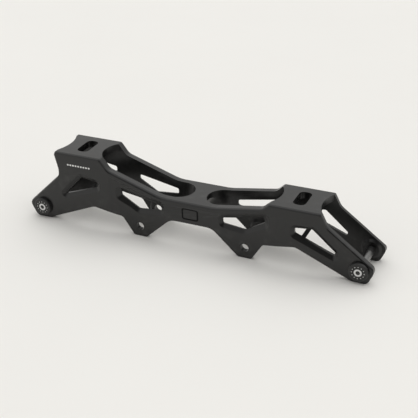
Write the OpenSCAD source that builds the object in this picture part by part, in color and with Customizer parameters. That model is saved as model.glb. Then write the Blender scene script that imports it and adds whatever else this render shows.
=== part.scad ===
// Inline skate frame: a one-piece channel that carries four wheels in line, with an axle at each end.
// X runs from heel (-) to toe (+), Y runs across, Z runs up from the surface that the axle feet stand on.
// Heights in outlines are measured from the line through the two end axles.

/* [Wheels] */
// Distance between neighbouring axles
wheel_pitch = 81; // [80:0.5:88]
// Largest wheel diameter that fits
wheel_d = 80; // [72:1:80]
// Free space left around each wheel
wheel_gap = 1; // [0.5:0.1:1.5]
// How much lower the two middle axles lie than the end axles
rocker = 1.2; // [0:0.1:2]
// Free width between two facing axle bosses
hub_gap = 24.5; // [23.5:0.1:26]
// Diameter of the flat ends of the bosses around the axle holes
boss_d = 11.5; // [9:0.5:14]
// Diameter of those bosses where they leave the plates
boss_base_d = 15; // [10:0.5:15.5]

/* [Channel] */
// Outside width of the channel
channel_w = 34.4; // [33:0.1:38]
// Thickness of each side plate
plate_t = 3.8; // [3:0.1:4.4]
// Free width of the wheel slots in the top
top_slot_w = 23; // [20:0.5:25]
// Thickness of the top where the wheel slots leave a lip on each plate
lip_h = 4.2; // [3:0.1:6]
// Least length of the bridge between the two wheel slots
bridge_l = 10.8; // [6:0.1:14]
// Depth of the hollow in the outer face of each plate
side_hollow = 1; // [0.3:0.1:1.4]
// Height of the full-width rim above that hollow
rim_h = 3.6; // [2:0.1:5]
// Height of the slope between rim and hollow
rim_fall = 2.2; // [1:0.1:4]
// Radius of the upper outer edges
edge_r = 2; // [0.5:0.1:2.6]

/* [Heights from the end axle line] */
// Top of the heel platform
heel_h = 47; // [45:0.5:50]
// Top of the toe platform
toe_h = 36.3; // [35:0.1:40]
// Top of the middle bridge
bridge_h = 25.6; // [24:0.2:27]
// Underside of the plates at mid length
waist_h = 9; // [7:0.2:10]
// Underside of the plates between an end wheel and its neighbour
belly_h = 8.1; // [7:0.1:9]
// Drop from the axle line to the flats of the axle feet
foot_drop = 9; // [8:0.1:10]

/* [Boot mount] */
// Distance between the two mount slots
mount_spacing = 165; // [160:1:170]
// How far the middle of the mount lies behind the middle of the wheelbase
mount_setback = 6.5; // [6:0.1:8]
// Length of the heel platform
heel_l = 38; // [36:0.2:40]
// Length of the toe platform
toe_l = 36; // [34:0.2:38]
// Thickness of each platform
platform_t = 5; // [4:0.1:6]
// Depth of the round hollows in the ends of the heel platform
heel_scallop = 4.5; // [2:0.1:5.5]
// Depth of the round hollows in the ends of the toe platform
toe_scallop = 3.6; // [2:0.1:4.5]
// Width of a mount slot, along the frame
slot_w = 9; // [6:0.5:10]
// Length of a mount slot, across the frame
slot_l = 19; // [12:0.5:22]
// Straight part in each round end of a mount slot
slot_flat = 1.8; // [0.2:0.1:4]

/* [Ends] */
// Reach of the rear end beyond its axle
rear_reach = 11; // [9.5:0.1:13]
// Reach of the front end beyond its axle
front_reach = 9.8; // [9.5:0.1:13]
// Radius of the end tips
tip_r = 5; // [2.5:0.1:6]
// Slope of the rear arm in degrees
rear_slope = 43.5; // [42:0.5:45]
// Slope of the front arm in degrees
front_slope = 36.7; // [35:0.1:38]

/* [Windows] */
// Width of the bevel around each side window
bevel_w = 2.8; // [0.5:0.1:3.4]
// Depth of that bevel
bevel_depth = 1.7; // [0.4:0.1:2]

/* [Cross webs] */
// Thickness of the cross webs between the wheels
web_h = 2.8; // [2:0.1:4]
// Height of the underside of the cross webs
web_z = 14.2; // [13:0.1:16]

/* [Axles] */
// Outside diameter of an axle
axle_d = 6; // [5:0.1:8]
// Running clearance of an axle in its holes, all round
axle_gap = 0.06; // [0.02:0.01:0.1]
// Diameter of the heads of the hollow axle halves
head_d = 13.5; // [9:0.5:14]
// Diameter of the screw heads
screw_head_d = 11; // [9:0.5:14]
// Height of the axle heads
head_h = 2.6; // [1.6:0.1:3.2]
// Bevel around the axle heads
head_bevel = 0.45; // [0.1:0.05:0.8]
// Diameter of the screw inside an axle
screw_d = 4; // [3:0.1:4.4]
// Running clearance of the screw in the axle, all round
screw_gap = 0.05; // [0.02:0.01:0.1]
// Length of the screw below its head
screw_l = 15; // [10:0.5:20]
// Free depth in the axle past the end of the screw
screw_spare = 1.5; // [0.5:0.1:4]
// Distance from the end of the axle to the outer face of the far plate
axle_short = 0.6; // [0.2:0.1:1.5]
// Distance across the flats of the hexagon socket
socket_af = 4; // [2.5:0.5:5]
// Depth of the hexagon socket
socket_depth = 1.4; // [1:0.1:1.5]

/* [Hidden] */
$fn = 64;
// Turn of one segment of a rounded outline corner, in degrees
arc_step = 15;
// Slopes of the flats that round an upper outer edge, in degrees
edge_slopes = [30, 60];
// Overshoot of a cut past the face that it opens, and of a joined piece into its neighbour
past = 1;
// Length that clears the whole object
clear = 200;

anodised = [0.13, 0.13, 0.13];
bright_metal = [0.66, 0.66, 0.64];

// Half widths across the frame
face_y = channel_w / 2;
inner_y = face_y - plate_t;
mid_face_y = face_y - side_hollow;
boss_y = hub_gap / 2;
slot_y = top_slot_w / 2;

// Wheel stations as [x, height]
end_x = 1.5 * wheel_pitch;
mid_x = 0.5 * wheel_pitch;
stations = [[-end_x, 0], [-mid_x, -rocker], [mid_x, -rocker], [end_x, 0]];
wheel_r = wheel_d / 2 + wheel_gap;
hole_r = axle_d / 2 + axle_gap;

// Platform ends and mount slots
slot_x = [-mount_setback - mount_spacing / 2, -mount_setback + mount_spacing / 2];
heel_x = [slot_x[0] - heel_l / 2, slot_x[0] + heel_l / 2];
toe_x = [slot_x[1] - toe_l / 2, slot_x[1] + toe_l / 2];
slot_r = (slot_w - slot_flat) / 2;
// Middle of the bridge, and the centres of the round slot ends beside it
bridge_mid = 1.2;
round_x = [bridge_mid - bridge_l / 2 - slot_y, bridge_mid + bridge_l / 2 + slot_y];
// Centres of the wider round ends under the lips, which meet the slot ends at the bridge
under_x = [round_x[0] - (inner_y - slot_y), round_x[1] + (inner_y - slot_y)];
// Height of the round tread of a wheel
tread_h = 12;
// Half width of the round hollow in the rear end of the heel platform
scallop_y = face_y - 2;
// Shift that brings the middle of the overall length to x = 0
centring = (rear_reach - front_reach) / 2;

// Half length of an axle foot, and the shoulder beside a middle foot
foot_half = 5;
shoulder_dx = 13.5;
shoulder_h = 4.3;
// Slope of the middle feet towards the waist, in degrees
waist_slope = 42.7;
// Where the highest part of the belly lies, short of the middle between two wheels
belly_dx = 3.7;
// Where the foot of an end axle begins, inward of the axle
end_foot_in = 4.5;
// Height of the centres of the round tips
tip_h = 0.6;
// Slopes of the end faces below the round tips, in degrees
rear_tip_slope = 62.6;
front_tip_slope = 66;
// Ends of the level top at the bridge
bridge_x = [-22.5, 17.5];
// Feet of the steps from the platforms down to the rims
heel_step = [heel_x[1] + 5.8, heel_h - 7.8];
toe_step = [toe_x[0] - 5, toe_h - 4.7];
// Distances from the platform ends to the necks behind and ahead of them
rear_neck_dx = 4;
front_neck_dx = 4.4;
// Reach of the side hollow's floor past the middle axles, and the length over which it fades out
hollow_past_axle = 7;
hollow_fade = 16;
// Reach of a cross web towards the middle and towards the end, from halfway between two wheels
web_in = 0.5;
web_out = 4;

function unit(v) = v / norm(v);
function direction(angle) = [cos(angle), sin(angle)];
function with_radius(p, r) = [p[0], p[1], r];

// Corner of the two tangents of a circle that have the given outward normals
function tangent_corner(centre, r, normal_1, normal_2) =
    let (a = direction(normal_1), b = direction(normal_2))
    centre + r * (a + b) / (1 + a * b);

// Points on the line through p in the given direction, at height z or at length x
function at_height(p, angle, z) = p + direction(angle) * (z - p[1]) / sin(angle);
function at_length(p, angle, x) = p + direction(angle) * (x - p[0]) / cos(angle);

// Height at length x on the line through a and b
function on_line(a, b, x) = a[1] + (b[1] - a[1]) * (x - a[0]) / (b[0] - a[0]);

// Arc that rounds the corner b between the points a and c, no further than halfway to them
function corner_arc(a, b, c, wanted_r) =
    let (
        to_a = unit(a - b),
        to_c = unit(c - b),
        half = acos(to_a * to_c) / 2,
        r = min(wanted_r, min(norm(a - b), norm(c - b)) / 2 * tan(half)),
        centre = b + unit(to_a + to_c) * r / sin(half),
        from = b + to_a * r / tan(half) - centre,
        to = b + to_c * r / tan(half) - centre,
        start = atan2(from[1], from[0]),
        turn = (atan2(to[1], to[0]) - start + 540) % 360 - 180,
        steps = max(1, ceil(abs(turn) / arc_step))
    )
    [for (i = [0 : steps]) centre + r * direction(start + turn * i / steps)];

// Outline from corners given as [x, height, radius]
function rounded(corners) =
    let (n = len(corners), flat = [for (c = corners) [c[0], c[1]]])
    [
        for (i = [0 : n - 1])
        each corners[i][2] == 0
            ? [flat[i]]
            : corner_arc(flat[(i + n - 1) % n], flat[i], flat[(i + 1) % n], corners[i][2])
    ];

// Convex corners in counter-clockwise order, grown outward by a distance
function grown(corners, by) =
    let (n = len(corners), flat = [for (c = corners) [c[0], c[1]]])
    [
        for (i = [0 : n - 1])
        let (
            before = unit(flat[i] - flat[(i + n - 1) % n]),
            after = unit(flat[(i + 1) % n] - flat[i]),
            out_1 = [before[1], -before[0]],
            out_2 = [after[1], -after[0]]
        )
        with_radius(flat[i] + by * (out_1 + out_2) / (1 + out_1 * out_2), corners[i][2] + by)
    ];

function reversed(list) = [for (i = [len(list) - 1 : -1 : 0]) list[i]];
function mirrored(corners) = [for (c = reversed(corners)) [-c[0], c[1], c[2]]];

// Side outline, counter-clockwise from the rear tip
rear_tip = tangent_corner([tip_r - end_x - rear_reach, tip_h], tip_r, 90 + rear_slope, 270 - rear_tip_slope);
front_tip = tangent_corner([end_x + front_reach - tip_r, tip_h], tip_r, 90 - front_slope, front_tip_slope - 90);
under_front = [
    [mid_x - foot_half - (waist_h + foot_drop) / tan(waist_slope), waist_h, 10],
    [mid_x - foot_half, -foot_drop, 2],
    [mid_x + foot_half, -foot_drop, 2],
    [mid_x + shoulder_dx, shoulder_h, 3],
    [wheel_pitch - belly_dx, belly_h, 7],
    [end_x - end_foot_in, -foot_drop, 6]
];
under_side = concat(
    [
        with_radius(rear_tip, tip_r),
        with_radius(at_height(rear_tip, 180 - rear_tip_slope, -foot_drop), 4)
    ],
    mirrored(under_front),
    under_front,
    [
        with_radius(at_height(front_tip, front_tip_slope, -foot_drop), 4),
        with_radius(front_tip, tip_r)
    ]
);
top_side = [
    with_radius(at_length(front_tip, 180 - front_slope, toe_x[1] + front_neck_dx), 8),
    [toe_x[1], toe_h, 1],
    [toe_x[0], toe_h, 2],
    with_radius(toe_step, 6),
    [bridge_x[1], bridge_h, 25],
    [bridge_x[0], bridge_h, 25],
    with_radius(heel_step, 8),
    [heel_x[1], heel_h, 2],
    [heel_x[0], heel_h, 1.5],
    with_radius(at_length(rear_tip, rear_slope, heel_x[0] + rear_neck_dx), 9)
];
side_outline = rounded(concat(under_side, top_side));

// Top outline from the rear tip to the front tip, run on level past both
top_chain = rounded(concat(
    [[-clear, rear_tip[1], 0], with_radius(rear_tip, 0)],
    reversed(top_side),
    [with_radius(front_tip, 0), [clear, front_tip[1], 0]]
));
// Equally many points above it, spread wider so that no line between the two chains meets the top
sky_chain = [
    for (i = [0 : len(top_chain) - 1])
    [(2 * i / (len(top_chain) - 1) - 1) * 1.5 * clear, clear]
];

// Space between the plates, under the platforms, the lips and the bridge
inside_outline = [
    [-clear, -clear],
    [clear, -clear],
    [clear, clear],
    [toe_x[1], clear],
    [toe_x[1], toe_h - platform_t],
    [toe_x[0], toe_h - platform_t],
    [toe_step[0], toe_step[1] - lip_h],
    [under_x[1], bridge_h - lip_h],
    [under_x[1], web_z],
    [under_x[0], web_z],
    [under_x[0], bridge_h - lip_h],
    [heel_step[0], heel_step[1] - lip_h],
    [heel_x[1], heel_h - platform_t],
    [heel_x[0], heel_h - platform_t],
    [heel_x[0], clear],
    [-clear, clear]
];

// Through holes of the side windows, counter-clockwise
front_window = [
    [wheel_pitch - 5, toe_h - 18.6, 1.5],
    [wheel_pitch + 23.3, belly_h - 1.8, 1.2],
    [wheel_pitch + 23.6, belly_h + 1.2, 1.2],
    [wheel_pitch + 7.5, toe_h - 13, 1.5],
    [wheel_pitch - 5, toe_h - 14.2, 1.5]
];
rear_window = [
    [-wheel_pitch - 22.4, belly_h + 4.6, 0.8],
    [-wheel_pitch + 7.1, heel_h - 23.5, 1.5],
    [-wheel_pitch + 7.1, heel_h - 19.6, 1.5],
    [-wheel_pitch - 5.8, heel_h - 17.6, 1.5]
];
function middle_window(inner_end) = [
    [mid_x - inner_end, bridge_h - 11.4, 1.6],
    [mid_x + 0.2, waist_h + 3.4, 3],
    [mid_x + 14.2, bridge_h - 4.8, 1.8],
    [mid_x + 14.2, bridge_h - 1.1, 1.8],
    [mid_x - inner_end, bridge_h - 7.2, 1.6]
];

// Outline in the side plane as a ring at y, moved up by rise
function ring_at(outline, y, rise = 0) = [for (p = outline) [p[0], y, p[1] + rise]];

// Solid between two rings of equally many points, the one with the lower y first
module loft(first, last) {
    n = len(first);
    sides = [
        for (i = [0 : n - 1])
        let (next = (i + 1) % n)
        each [[i, next, next + n], [i, next + n, i + n]]
    ];
    caps = [[for (i = [n - 1 : -1 : 0]) i], [for (i = [0 : n - 1]) n + i]];
    polyhedron(concat(first, last), concat(sides, caps));
}

// Two triangles of a four-sided face
function halves(a, b, c, d) = [[a, b, c], [a, c, d]];

// Solid between two bands, the one with the lower y first. A band lies between a lower and an upper
// chain of equally many points.
module band_loft(lower_1, upper_1, lower_2, upper_2) {
    n = len(lower_1);
    strips = [
        for (i = [0 : n - 2])
        each concat(
            halves(n + i, n + i + 1, i + 1, i),
            halves(2 * n + i, 2 * n + i + 1, 3 * n + i + 1, 3 * n + i),
            halves(i, i + 1, 2 * n + i + 1, 2 * n + i),
            halves(n + i + 1, n + i, 3 * n + i, 3 * n + i + 1)
        )
    ];
    ends = concat(halves(n - 1, 2 * n - 1, 4 * n - 1, 3 * n - 1), halves(n, 0, 2 * n, 3 * n));
    polyhedron(concat(lower_1, upper_1, lower_2, upper_2), concat(strips, ends));
}

// Prism across the frame from a side outline
module across(outline, half_w) {
    rotate([90, 0, 0]) linear_extrude(2 * half_w, center = true) polygon(outline);
}

// Round bar across the frame at a wheel station
module round_across(station, r, half_w) {
    translate([station[0], 0, station[1]])
        rotate([90, 0, 0])
        cylinder(r = r, h = 2 * half_w, center = true);
}

module both_sides() {
    children();
    mirror([0, 1, 0]) children();
}

// Room for a wheel with its round tyre, as wide as half_w on each side below the tread
module wheel_spaces(half_w) {
    tread = [for (a = [-90 : arc_step : 90]) [wheel_r - tread_h + tread_h * cos(a), half_w * sin(a)]];
    profile = concat([[0, -half_w]], tread, [[0, half_w]]);
    for (s = stations)
        translate([s[0], 0, s[1]]) rotate([90, 0, 0]) rotate_extrude() polygon(profile);
}

// Through hole with a bevel that opens to the outer faces at outer_y
module window_cut(corners, outer_y) {
    flare = bevel_w + (face_y + past - outer_y) * bevel_w / bevel_depth;
    across(rounded(corners), face_y + past);
    both_sides() loft(
        ring_at(rounded(corners), outer_y - bevel_depth),
        ring_at(rounded(grown(corners, flare)), face_y + past)
    );
}

module windows() {
    window_cut(rear_window, face_y);
    window_cut(front_window, face_y);
    window_cut(middle_window(16.6), mid_face_y);
    window_cut(mirrored(middle_window(17.4)), mid_face_y);
}

// Round hollow in a platform end from the height bottom up, half_w wide on each side of the middle,
// that opens along side (1 or -1)
module scallop_cut(edge_x, side, half_w, depth, bottom) {
    r = (half_w * half_w + depth * depth) / (2 * depth);
    translate([edge_x, 0, bottom]) intersection() {
        translate([side * (r - depth), 0, 0]) cylinder(r = r, h = clear);
        translate([-r, -half_w, 0]) cube([2 * r, 2 * half_w, clear]);
    }
}

// Wheel slot in the top, from a platform edge to its round end at the bridge
module top_slot(edge_x, side, end_centre, depth) {
    scallop_cut(edge_x, side, slot_y, depth, 0);
    translate([end_centre, 0, 0]) cylinder(r = slot_y, h = clear);
    translate([min(edge_x, end_centre), -slot_y, 0]) cube([abs(edge_x - end_centre), top_slot_w, clear]);
}

module mount_slot(x) {
    dx = slot_flat / 2;
    dy = slot_l / 2 - slot_r;
    translate([x, 0, 0]) {
        for (sx = [-1, 1], sy = [-1, 1]) translate([sx * dx, sy * dy, 0]) cylinder(r = slot_r, h = clear);
        translate([-slot_w / 2, -dy, 0]) cube([slot_w, 2 * dy, clear]);
        translate([-dx, -slot_l / 2, 0]) cube([2 * dx, slot_l, clear]);
    }
}

// Upper edge of the side hollow, from its floor (share 0) to the outer face (share 1) and beyond
function hollow_top(share) =
    let (
        reach = mid_x + hollow_past_axle + share * hollow_fade,
        drop = rim_h + (1 - share) * rim_fall
    )
    [
        [-reach, on_line(heel_step, [bridge_x[0], bridge_h], -reach) - drop],
        [bridge_x[0], bridge_h - drop],
        [bridge_x[1], bridge_h - drop],
        [reach, on_line([bridge_x[1], bridge_h], toe_step, reach) - drop]
    ];
function far_below(chain) = [for (p = chain) [p[0], -clear]];

// Hollow in the outer face of both plates, below the rim, that fades out towards heel and toe
module side_hollows() {
    floor_top = hollow_top(0);
    open_top = hollow_top(1 + past / side_hollow);
    both_sides() band_loft(
        ring_at(far_below(floor_top), mid_face_y),
        ring_at(floor_top, mid_face_y),
        ring_at(far_below(open_top), face_y + past),
        ring_at(open_top, face_y + past)
    );
}

// Height over the top outline of a flat that touches the round of an upper edge, at y
function edge_rise(slope, y) = (edge_r - (y - face_y + edge_r) * sin(slope)) / cos(slope) - edge_r;

// Flats that round the upper outer edges
module round_edges() {
    in_y = face_y - edge_r - past;
    out_y = face_y + past;
    both_sides() for (slope = edge_slopes) band_loft(
        ring_at(top_chain, in_y, edge_rise(slope, in_y)),
        ring_at(sky_chain, in_y),
        ring_at(top_chain, out_y, edge_rise(slope, out_y)),
        ring_at(sky_chain, out_y)
    );
}

// Round ends of the space under the lips, beside the bridge
module under_lip_ends() {
    for (x = under_x) translate([x, 0, web_z - past])
        cylinder(r = inner_y, h = bridge_h - lip_h - web_z + past);
}

module cross_webs() {
    difference() {
        for (x = [-wheel_pitch - web_out, wheel_pitch - web_in])
            translate([x, -inner_y - past, web_z])
            cube([web_in + web_out, 2 * (inner_y + past), web_h]);
        for (s = stations) round_across(s, wheel_r, inner_y);
    }
}

// Tapered bosses that hold the wheel hubs clear of the plates
module bosses() {
    both_sides() for (s = stations) translate([s[0], boss_y, s[1]]) rotate([-90, 0, 0]) rotate_extrude()
        polygon([
            [0, 0],
            [boss_d / 2, 0],
            [boss_base_d / 2, inner_y - boss_y],
            [boss_base_d / 2, inner_y - boss_y + past],
            [0, inner_y - boss_y + past]
        ]);
}

// Channel with its top and side openings, before bosses and holes
module channel() {
    difference() {
        across(side_outline, face_y);
        across(inside_outline, inner_y);
        under_lip_ends();
        wheel_spaces(slot_y);
        top_slot(heel_x[1], 1, round_x[0], heel_scallop);
        top_slot(toe_x[0], -1, round_x[1], toe_scallop);
        scallop_cut(heel_x[0], -1, scallop_y, heel_scallop, heel_h - platform_t);
        scallop_cut(toe_x[1], 1, inner_y, toe_scallop, toe_h - platform_t);
        for (x = slot_x) mount_slot(x);
        side_hollows();
        round_edges();
    }
}

module frame_channel() {
    color(anodised) translate([centring, 0, foot_drop]) difference() {
        union() {
            channel();
            cross_webs();
            bosses();
        }
        windows();
        for (s = stations) round_across(s, hole_r, face_y + past);
    }
}

// Profile of a head of diameter d that seats at height face_y, from its rim to its middle
function head_profile(d) = [
    [d / 2, face_y],
    [d / 2, face_y + head_h - head_bevel],
    [d / 2 - head_bevel, face_y + head_h],
    [0, face_y + head_h]
];

// Hollow half of an axle, with its head on the -Y side
module axle_barrel(station) {
    bore_r = screw_d / 2 + screw_gap;
    open_end = axle_short - face_y;
    bore_end = screw_l + screw_spare - face_y;
    color(bright_metal) translate([station[0] + centring, 0, station[1] + foot_drop]) rotate([90, 0, 0])
        rotate_extrude() polygon(concat(
            [[axle_d / 2, open_end], [axle_d / 2, face_y]],
            head_profile(head_d),
            [[0, bore_end], [bore_r, bore_end], [bore_r, open_end]]
        ));
}

// Screw half of an axle, with its head on the +Y side
module axle_screw(station) {
    color(anodised) translate([station[0] + centring, 0, station[1] + foot_drop]) rotate([-90, 0, 0])
    difference() {
        rotate_extrude() polygon(concat(
            [[0, face_y - screw_l], [screw_d / 2, face_y - screw_l], [screw_d / 2, face_y]],
            head_profile(screw_head_d)
        ));
        translate([0, 0, face_y + head_h - socket_depth])
            cylinder(d = socket_af / cos(30), h = socket_depth + past, $fn = 6);
    }
}

module rear_axle_barrel() { axle_barrel(stations[0]); }
module rear_axle_screw() { axle_screw(stations[0]); }
module front_axle_barrel() { axle_barrel(stations[3]); }
module front_axle_screw() { axle_screw(stations[3]); }

frame_channel();
rear_axle_barrel();
rear_axle_screw();
front_axle_barrel();
front_axle_screw();
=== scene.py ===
import math

import bmesh
import bpy
from mathutils import Matrix, Vector


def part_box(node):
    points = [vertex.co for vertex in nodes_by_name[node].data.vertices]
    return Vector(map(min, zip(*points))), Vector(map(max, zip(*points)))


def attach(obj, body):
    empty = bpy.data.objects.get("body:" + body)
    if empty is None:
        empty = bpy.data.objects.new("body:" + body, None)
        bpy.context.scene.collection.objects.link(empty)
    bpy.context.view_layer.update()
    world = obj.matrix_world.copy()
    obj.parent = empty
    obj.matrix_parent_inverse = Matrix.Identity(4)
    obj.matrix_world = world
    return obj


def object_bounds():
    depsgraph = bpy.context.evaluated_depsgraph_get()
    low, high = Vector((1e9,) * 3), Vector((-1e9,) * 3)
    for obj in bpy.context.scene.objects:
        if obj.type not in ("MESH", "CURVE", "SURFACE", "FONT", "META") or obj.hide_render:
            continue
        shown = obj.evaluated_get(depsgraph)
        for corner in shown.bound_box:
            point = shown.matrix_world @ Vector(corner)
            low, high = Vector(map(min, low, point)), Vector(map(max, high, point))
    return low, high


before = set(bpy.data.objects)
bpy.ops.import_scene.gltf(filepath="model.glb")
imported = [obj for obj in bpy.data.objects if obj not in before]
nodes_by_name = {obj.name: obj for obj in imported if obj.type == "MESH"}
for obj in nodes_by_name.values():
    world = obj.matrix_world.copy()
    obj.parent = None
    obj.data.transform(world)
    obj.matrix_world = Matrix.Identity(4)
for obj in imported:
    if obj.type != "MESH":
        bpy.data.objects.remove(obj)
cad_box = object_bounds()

# Metres in a millimetre
MM = 0.001

scene = bpy.context.scene
channel = nodes_by_name["frame_channel"]

# Size of the picture, in pixels, and of the camera's sensor, in mm
PICTURE_WIDTH = 418
SENSOR_WIDTH = 36

# Camera, from a fit of the part to the photo, in degrees and pixels
# The pivot is a point of the part, and the offset its place in the camera's axes, both in mm
CAMERA_AZIMUTH = 24.911
CAMERA_ELEVATION = 28.576
CAMERA_ROLL = 1.489
CAMERA_FOCAL_PIXELS = 903.675
CAMERA_OFFSET = (-5.650, -11.370, -648.005)
CAMERA_PIVOT = (1.0, 0, 9.0)

# Light tent: levels, and the opening that the camera looks in by, in degrees
TENT_COLOUR = (1, 0.99, 0.965, 1)
TENT_LEVEL = 0.85
OPENING_LEVEL = 0.04
OPENING_AZIMUTH = 18
OPENING_ELEVATION = 26
OPENING_CORE = 17
OPENING_RIM = 36

# The tent is dim above its front too: from which height up, and from how far back to the front
DIM_HEIGHT = (0.55, 0.67)
DIM_FRONT = (-0.25, 0.15)

# Light from above: its spread in degrees, and its strength
OVERHEAD_SPREAD = 104
OVERHEAD_STRENGTH = 1.5

# Floor, a little under the part
FLOOR_GAP = 0.2 * MM
FLOOR_HALF_SIZE = 40

# Softened edges: width, least angle of an edge, and greatest angle between faces that count as flat
CHANNEL_EDGE = (0.5 * MM, 28, 1.0)
AXLE_EDGE = (0.2 * MM, 35, 0.5)

# Marks: how far they stand out of their faces, and how deep they are sunk
DASH_PROUD = 0.03 * MM
OUTLINE_PROUD = 0.02 * MM
HEAD_PROUD = 0.02 * MM
PLATE_SUNK = 0.3 * MM
HEAD_SUNK = 0.2 * MM

# Row of dashes on the heel: its first dash, its pitch and its level
DASH_COUNT = 9
DASH_START = -95.8 * MM
DASH_PITCH = 2.18 * MM
DASH_LEVEL = 47.4 * MM
DASH_SIZE = (1.5 * MM, 1.2 * MM, 0.3 * MM)

# Outline on the near side: its middle, and width, height and corner radius outside and inside
OUTLINE_X = 0.3 * MM
OUTLINE_Z = 25.4 * MM
OUTLINE_OUTER = (12.6 * MM, 9 * MM, 1.8 * MM)
OUTLINE_INNER = (10.4 * MM, 6.8 * MM, 0.9 * MM)

# Ring and dots on an axle's head
HEAD_RING_OUTER = 2.7 * MM
HEAD_RING_INNER = 1.5 * MM
HEAD_RING_SIDES = 40
HEAD_DOT_COUNT = 12
HEAD_DOT_CIRCLE = 4.3 * MM
HEAD_DOT_RADIUS = 0.32 * MM
HEAD_DOT_SIDES = 10

# Along an axle: where its black head ends and where its black far part starts, each over a short blend
HEAD_BLACK_END = (-17.2 * MM, -17.1 * MM)
TAIL_BLACK_START = (6 * MM, 6.2 * MM)

# Stretch that turns round noise into the fine rings of a turned part
TURNED_RINGS = (60, 2600, 60)

# Values of pointiness from which an edge shows wear, and at which it shows all of it
WORN_EDGE = (0.53, 0.62)


# Materials

def new_material(name):
    """A material with a principled shader, its node tree and that shader."""
    material = bpy.data.materials.new(name)
    material.use_nodes = True
    tree = material.node_tree
    tree.nodes.clear()
    output = tree.nodes.new("ShaderNodeOutputMaterial")
    shader = tree.nodes.new("ShaderNodeBsdfPrincipled")
    tree.links.new(shader.outputs["BSDF"], output.inputs["Surface"])
    return material, tree, shader


def object_coords(tree, scale=(1, 1, 1)):
    """Object coordinates in metres, stretched by scale."""
    coords = tree.nodes.new("ShaderNodeTexCoord")
    mapping = tree.nodes.new("ShaderNodeMapping")
    mapping.inputs["Scale"].default_value = scale
    tree.links.new(coords.outputs["Object"], mapping.inputs["Vector"])
    return mapping.outputs["Vector"]


def noise(tree, vector, scale, detail):
    """Noise value over a vector, in features per metre."""
    node = tree.nodes.new("ShaderNodeTexNoise")
    node.inputs["Scale"].default_value = scale
    node.inputs["Detail"].default_value = detail
    tree.links.new(vector, node.inputs["Vector"])
    return node.outputs["Fac"]


def ramp(tree, value, low, high):
    """Colour between low and high, over the middle of a noise value's range."""
    node = tree.nodes.new("ShaderNodeValToRGB")
    node.color_ramp.elements[0].position = 0.3
    node.color_ramp.elements[0].color = (*low, 1)
    node.color_ramp.elements[1].position = 0.7
    node.color_ramp.elements[1].color = (*high, 1)
    tree.links.new(value, node.inputs["Fac"])
    return node.outputs["Color"]


def spread(tree, value, low, high, from_low=0.3, from_high=0.7):
    """Number between low and high as the value goes from from_low to from_high."""
    node = tree.nodes.new("ShaderNodeMapRange")
    node.inputs["From Min"].default_value = from_low
    node.inputs["From Max"].default_value = from_high
    node.inputs["To Min"].default_value = low
    node.inputs["To Max"].default_value = high
    tree.links.new(value, node.inputs["Value"])
    return node.outputs["Result"]


def combine(tree, operation, a, b):
    """Two values put together by a math operation."""
    node = tree.nodes.new("ShaderNodeMath")
    node.operation = operation
    tree.links.new(a, node.inputs[0])
    tree.links.new(b, node.inputs[1])
    return node.outputs["Value"]


def times(tree, a, b):
    """Product of two values."""
    return combine(tree, "MULTIPLY", a, b)


def greater(tree, a, b):
    """Greater of two values."""
    return combine(tree, "MAXIMUM", a, b)


def mix(tree, kind, factor, a, b):
    """a where the factor is 0 and b where it is 1, as colours or as plain values."""
    node = tree.nodes.new("ShaderNodeMix")
    node.data_type = kind
    tree.links.new(factor, node.inputs["Factor"])
    tree.links.new(a, node.inputs["A"])
    tree.links.new(b, node.inputs["B"])
    return node.outputs["Result"]


def bump(tree, shader, height, strength, distance):
    """Small relief on the shader's normal."""
    node = tree.nodes.new("ShaderNodeBump")
    node.inputs["Strength"].default_value = strength
    node.inputs["Distance"].default_value = distance
    tree.links.new(height, node.inputs["Height"])
    tree.links.new(node.outputs["Normal"], shader.inputs["Normal"])


def worn_edges(tree):
    """0 on flat faces and 1 on sharp outer edges."""
    geometry = tree.nodes.new("ShaderNodeNewGeometry")
    return spread(tree, geometry.outputs["Pointiness"], 0, 1, *WORN_EDGE)


def anodised_material():
    """Black satin anodising over bead-blasted aluminium, a little worn along its outer edges."""
    material, tree, shader = new_material("black_anodised")
    place = object_coords(tree)
    cloud = noise(tree, place, 45, 2)
    body = ramp(tree, cloud, (0.0054, 0.0054, 0.0053), (0.0068, 0.0068, 0.0066))
    grain = noise(tree, place, 900, 3)
    worn = ramp(tree, grain, (0.022, 0.022, 0.0215), (0.045, 0.045, 0.044))
    scuff = spread(tree, noise(tree, place, 170, 4), 0, 0.55, 0.42, 0.72)
    wear = times(tree, worn_edges(tree), scuff)
    tree.links.new(mix(tree, "RGBA", wear, body, worn), shader.inputs["Base Color"])
    patches = spread(tree, noise(tree, place, 130, 3), 0.274, 0.286)
    tree.links.new(patches, shader.inputs["Roughness"])
    bump(tree, shader, noise(tree, place, 4200, 2), 0.08, 0.03 * MM)
    return material


def axle_material():
    """Turned steel shank between a black oxide head and a far part coloured the same black."""
    material, tree, shader = new_material("axle_steel_black_head")
    place = object_coords(tree)
    rings = noise(tree, object_coords(tree, TURNED_RINGS), 1, 2)
    steel = ramp(tree, rings, (0.17, 0.17, 0.168), (0.21, 0.21, 0.207))
    cloud = noise(tree, place, 240, 3)
    black = ramp(tree, cloud, (0.012, 0.012, 0.012), (0.024, 0.024, 0.0235))
    split = tree.nodes.new("ShaderNodeSeparateXYZ")
    tree.links.new(place, split.inputs["Vector"])
    # Black over the head and over the far part of the shank, steel between them.
    head = spread(tree, split.outputs["Y"], 1, 0, *HEAD_BLACK_END)
    tail = spread(tree, split.outputs["Y"], 0, 1, *TAIL_BLACK_START)
    black_ends = greater(tree, head, tail)
    tree.links.new(mix(tree, "RGBA", black_ends, steel, black), shader.inputs["Base Color"])
    bright = spread(tree, rings, 0.27, 0.32)
    satin = spread(tree, noise(tree, place, 600, 2), 0.36, 0.48)
    tree.links.new(mix(tree, "FLOAT", black_ends, bright, satin), shader.inputs["Roughness"])
    tree.links.new(spread(tree, black_ends, 1, 0.2, 0, 1), shader.inputs["Metallic"])
    bump(tree, shader, rings, 0.05, 0.02 * MM)
    return material


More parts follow.
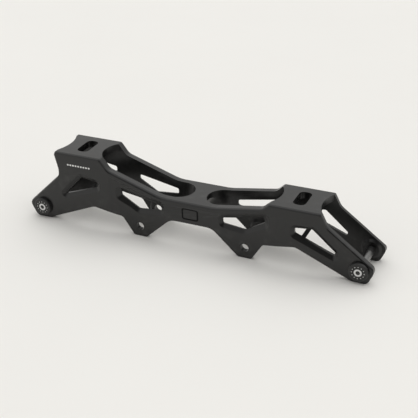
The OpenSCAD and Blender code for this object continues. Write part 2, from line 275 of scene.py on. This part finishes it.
def screw_material():
    """Black oxide screw, with the fine rings that turning leaves."""
    material, tree, shader = new_material("screw_black_oxide")
    place = object_coords(tree)
    rings = noise(tree, object_coords(tree, TURNED_RINGS), 1, 2)
    cloud = noise(tree, place, 260, 3)
    dark = ramp(tree, cloud, (0.013, 0.013, 0.013), (0.028, 0.028, 0.027))
    worn = ramp(tree, rings, (0.06, 0.06, 0.058), (0.11, 0.11, 0.107))
    wear = times(tree, worn_edges(tree), noise(tree, place, 300, 3))
    tree.links.new(mix(tree, "RGBA", wear, dark, worn), shader.inputs["Base Color"])
    satin = spread(tree, noise(tree, place, 700, 2), 0.34, 0.46)
    tree.links.new(satin, shader.inputs["Roughness"])
    bump(tree, shader, rings, 0.12, 0.03 * MM)
    shader.inputs["Metallic"].default_value = 0.4
    return material


def ink_material(name, low, high, rough, gloss):
    """Printed or filled mark, thin enough that its grain shows."""
    material, tree, shader = new_material(name)
    place = object_coords(tree)
    colour = ramp(tree, noise(tree, place, 1500, 3), low, high)
    tree.links.new(colour, shader.inputs["Base Color"])
    patches = spread(tree, noise(tree, place, 2500, 2), rough, rough + 0.12)
    tree.links.new(patches, shader.inputs["Roughness"])
    bump(tree, shader, noise(tree, place, 5000, 2), 0.15, 0.03 * MM)
    shader.inputs["Specular IOR Level"].default_value = gloss
    return material


# Soft edges on the solids

def soften(node, width, angle, flat_angle):
    """Joins the solid's faces and rounds its edges, with modifiers only."""
    weld = node.modifiers.new("join_faces", "WELD")
    weld.merge_threshold = 0.002 * MM
    dissolve = node.modifiers.new("flat_faces", "DECIMATE")
    dissolve.decimate_type = "DISSOLVE"
    dissolve.angle_limit = math.radians(flat_angle)
    rounding = node.modifiers.new("round_edges", "BEVEL")
    rounding.limit_method = "ANGLE"
    rounding.angle_limit = math.radians(angle)
    rounding.width = width
    rounding.segments = 3
    rounding.miter_outer = "MITER_ARC"
    shading = node.modifiers.new("even_shading", "WEIGHTED_NORMAL")
    shading.keep_sharp = True
    shading.weight = 60


# Marks on the part

def face_y(x, z):
    """y of the near side's surface at x and z, found on the solid from a point well in front of it."""
    start = Vector((x, -50 * MM, z))
    hit, place, _, _ = channel.ray_cast(start, Vector((0, 1, 0)))
    if not hit:
        raise ValueError("no plate under this mark")
    return place.y


def round_rect(width, height, radius, steps=6):
    """Corners of a rounded rectangle around the origin, anticlockwise."""
    points = []
    for turn, (sx, sz) in enumerate(((1, 1), (-1, 1), (-1, -1), (1, -1))):
        for step in range(steps + 1):
            angle = math.radians(90 * (turn + step / steps))
            px = sx * (width / 2 - radius) + radius * math.cos(angle)
            pz = sz * (height / 2 - radius) + radius * math.sin(angle)
            points.append((px, pz))
    return points


def ring_of(radius, count):
    """Points of a circle around the origin, anticlockwise."""
    angles = [2 * math.pi * i / count for i in range(count)]
    return [(radius * math.cos(angle), radius * math.sin(angle)) for angle in angles]


def shifted(outline, dx, dz):
    """Outline moved along x and z."""
    return [(x + dx, z + dz) for x, z in outline]


def add_prism(mesh, outline, surface, proud, sunk):
    """Flat-topped prism over an outline of (x, z), standing proud of the surface and sunk into it."""
    top = [mesh.verts.new((x, surface(x, z) - proud, z)) for x, z in outline]
    bottom = [mesh.verts.new((x, surface(x, z) + sunk, z)) for x, z in outline]
    mesh.faces.new(top)
    mesh.faces.new(list(reversed(bottom)))
    count = len(outline)
    for i in range(count):
        j = (i + 1) % count
        mesh.faces.new((top[j], top[i], bottom[i], bottom[j]))


def add_band(mesh, outer, inner, surface, proud, sunk):
    """Closed band between two outlines of one count, standing proud of the surface and sunk into it."""
    rings = []
    for outline, depth in ((outer, -proud), (inner, -proud), (inner, sunk), (outer, sunk)):
        rings.append([mesh.verts.new((x, surface(x, z) + depth, z)) for x, z in outline])
    count = len(outer)
    for a, b in zip(rings, rings[1:] + rings[:1]):
        for i in range(count):
            j = (i + 1) % count
            mesh.faces.new((a[i], a[j], b[j], b[i]))


def finish_piece(name, mesh, material, body):
    """Makes an object from a bmesh, with its material, that rides on a body."""
    bmesh.ops.recalc_face_normals(mesh, faces=mesh.faces)
    data = bpy.data.meshes.new(name)
    mesh.to_mesh(data)
    mesh.free()
    piece = bpy.data.objects.new(name, data)
    scene.collection.objects.link(piece)
    data.materials.append(material)
    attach(piece, body)


def heel_dashes(material):
    """Plain printed row of dashes on the near side of the heel."""
    mesh = bmesh.new()
    outline = round_rect(*DASH_SIZE, steps=3)
    for i in range(DASH_COUNT):
        dash = shifted(outline, DASH_START + i * DASH_PITCH, DASH_LEVEL)
        add_prism(mesh, dash, face_y, DASH_PROUD, PLATE_SUNK)
    finish_piece("heel_print_dashes", mesh, material, "frame")


def side_outline(material):
    """Plain dark outline in the middle of the near side."""
    mesh = bmesh.new()
    outer = shifted(round_rect(*OUTLINE_OUTER), OUTLINE_X, OUTLINE_Z)
    inner = shifted(round_rect(*OUTLINE_INNER), OUTLINE_X, OUTLINE_Z)
    add_band(mesh, outer, inner, face_y, OUTLINE_PROUD, PLATE_SUNK)
    finish_piece("side_mark_outline", mesh, material, "frame")


def head_marks(side, material):
    """Plain ring and dots printed on the head of an axle."""
    low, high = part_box(side + "_axle_barrel")
    x = (low.x + high.x) / 2
    z = (low.z + high.z) / 2
    mesh = bmesh.new()

    def head_face(px, pz):
        return low.y

    outer = shifted(ring_of(HEAD_RING_OUTER, HEAD_RING_SIDES), x, z)
    inner = shifted(ring_of(HEAD_RING_INNER, HEAD_RING_SIDES), x, z)
    add_band(mesh, outer, inner, head_face, HEAD_PROUD, HEAD_SUNK)
    for dx, dz in ring_of(HEAD_DOT_CIRCLE, HEAD_DOT_COUNT):
        dot = shifted(ring_of(HEAD_DOT_RADIUS, HEAD_DOT_SIDES), x + dx, z + dz)
        add_prism(mesh, dot, head_face, HEAD_PROUD, HEAD_SUNK)
    finish_piece(side + "_head_marks", mesh, material, side + " barrel")


# Camera

def toward(azimuth, elevation):
    """Direction from the part, by degrees from the near side to the toe and degrees up."""
    turn = math.radians(azimuth)
    rise = math.radians(elevation)
    return Vector((
        math.sin(turn) * math.cos(rise),
        -math.cos(turn) * math.cos(rise),
        math.sin(rise),
    ))


def add_camera():
    """Camera at the photo's angle, from a fit of the part to the photo."""
    roll = math.radians(CAMERA_ROLL)
    back = toward(CAMERA_AZIMUTH, CAMERA_ELEVATION)
    right = toward(CAMERA_AZIMUTH + 90, 0)
    up = back.cross(right)
    turned_right = right * math.cos(roll) - up * math.sin(roll)
    turned_up = right * math.sin(roll) + up * math.cos(roll)
    rows = Matrix((turned_right, turned_up, back))
    offset = Vector(CAMERA_OFFSET) * MM
    place = Vector(CAMERA_PIVOT) * MM - rows.transposed() @ offset
    data = bpy.data.cameras.new("camera")
    data.sensor_fit = "HORIZONTAL"
    data.sensor_width = SENSOR_WIDTH
    data.lens = SENSOR_WIDTH * CAMERA_FOCAL_PIXELS / PICTURE_WIDTH
    data.clip_start = 0.01
    data.clip_end = 50
    camera = bpy.data.objects.new("camera", data)
    camera.matrix_world = Matrix.Translation(place) @ rows.transposed().to_4x4()
    scene.collection.objects.link(camera)
    scene.camera = camera


# Floor and light

def floor_material():
    """Pale studio floor."""
    material, tree, shader = new_material("pale_floor")
    place = object_coords(tree)
    cloud = noise(tree, place, 6, 2)
    colour = ramp(tree, cloud, (0.822, 0.812, 0.785), (0.832, 0.822, 0.795))
    tree.links.new(colour, shader.inputs["Base Color"])
    patches = spread(tree, noise(tree, place, 40, 2), 0.6, 0.7)
    tree.links.new(patches, shader.inputs["Roughness"])
    shader.inputs["Specular IOR Level"].default_value = 0.2
    return material


def add_floor(height):
    """Plain floor under the part."""
    mesh = bmesh.new()
    bmesh.ops.create_grid(mesh, x_segments=4, y_segments=4, size=FLOOR_HALF_SIZE)
    data = bpy.data.meshes.new("floor")
    mesh.to_mesh(data)
    mesh.free()
    data.materials.append(floor_material())
    floor = bpy.data.objects.new("floor", data)
    floor.location.z = height
    scene.collection.objects.link(floor)


def add_overhead():
    """Wide, even light from straight above, as from the roof of a light tent."""
    data = bpy.data.lights.new("overhead", "SUN")
    data.angle = math.radians(OVERHEAD_SPREAD)
    data.energy = OVERHEAD_STRENGTH
    light = bpy.data.objects.new("overhead", data)
    scene.collection.objects.link(light)


def add_world():
    """Pale walls of a light tent, dim above its front and at the opening where the camera looks in."""
    world = bpy.data.worlds.new("studio")
    world.use_nodes = True
    tree = world.node_tree
    coords = tree.nodes.new("ShaderNodeTexCoord")
    split = tree.nodes.new("ShaderNodeSeparateXYZ")
    tree.links.new(coords.outputs["Generated"], split.inputs["Vector"])
    high = spread(tree, split.outputs["Z"], 0, 1, *DIM_HEIGHT)
    front = spread(tree, split.outputs["Y"], 1, 0, *DIM_FRONT)
    near = tree.nodes.new("ShaderNodeVectorMath")
    near.operation = "DOT_PRODUCT"
    near.inputs[1].default_value = toward(OPENING_AZIMUTH, OPENING_ELEVATION)
    tree.links.new(coords.outputs["Generated"], near.inputs[0])
    rim = math.cos(math.radians(OPENING_RIM))
    core = math.cos(math.radians(OPENING_CORE))
    opening = spread(tree, near.outputs["Value"], 0, 1, rim, core)
    dim = greater(tree, times(tree, high, front), opening)
    strength = spread(tree, dim, TENT_LEVEL, OPENING_LEVEL, 0, 1)
    background = tree.nodes["Background"]
    background.inputs["Color"].default_value = TENT_COLOUR
    tree.links.new(strength, background.inputs["Strength"])
    scene.world = world


scene.view_settings.view_transform = "Standard"

anodised = anodised_material()
axle_metal = axle_material()
screw_metal = screw_material()
axle_finishes = {
    "rear_axle_barrel": axle_metal,
    "front_axle_barrel": axle_metal,
    "rear_axle_screw": screw_metal,
    "front_axle_screw": screw_metal,
}
finishes = {"frame_channel": anodised, **axle_finishes}
for name, material in finishes.items():
    for slot in nodes_by_name[name].material_slots:
        slot.link = "OBJECT"
        slot.material = material

heel_ink = ink_material(
    "white_print", (0.66, 0.66, 0.65), (0.8, 0.8, 0.79), rough=0.45, gloss=0.5
)
heel_dashes(heel_ink)
side_fill = ink_material(
    "dark_fill", (0.002, 0.002, 0.002), (0.004, 0.004, 0.004), rough=0.6, gloss=0.1
)
side_outline(side_fill)
head_ink = ink_material(
    "pale_print", (0.6, 0.6, 0.59), (0.76, 0.76, 0.75), rough=0.45, gloss=0.5
)
for side in ("rear", "front"):
    head_marks(side, head_ink)

soften(channel, *CHANNEL_EDGE)
for name in axle_finishes:
    soften(nodes_by_name[name], *AXLE_EDGE)

add_camera()
add_floor(cad_box[0][2] - FLOOR_GAP)
add_overhead()
add_world()
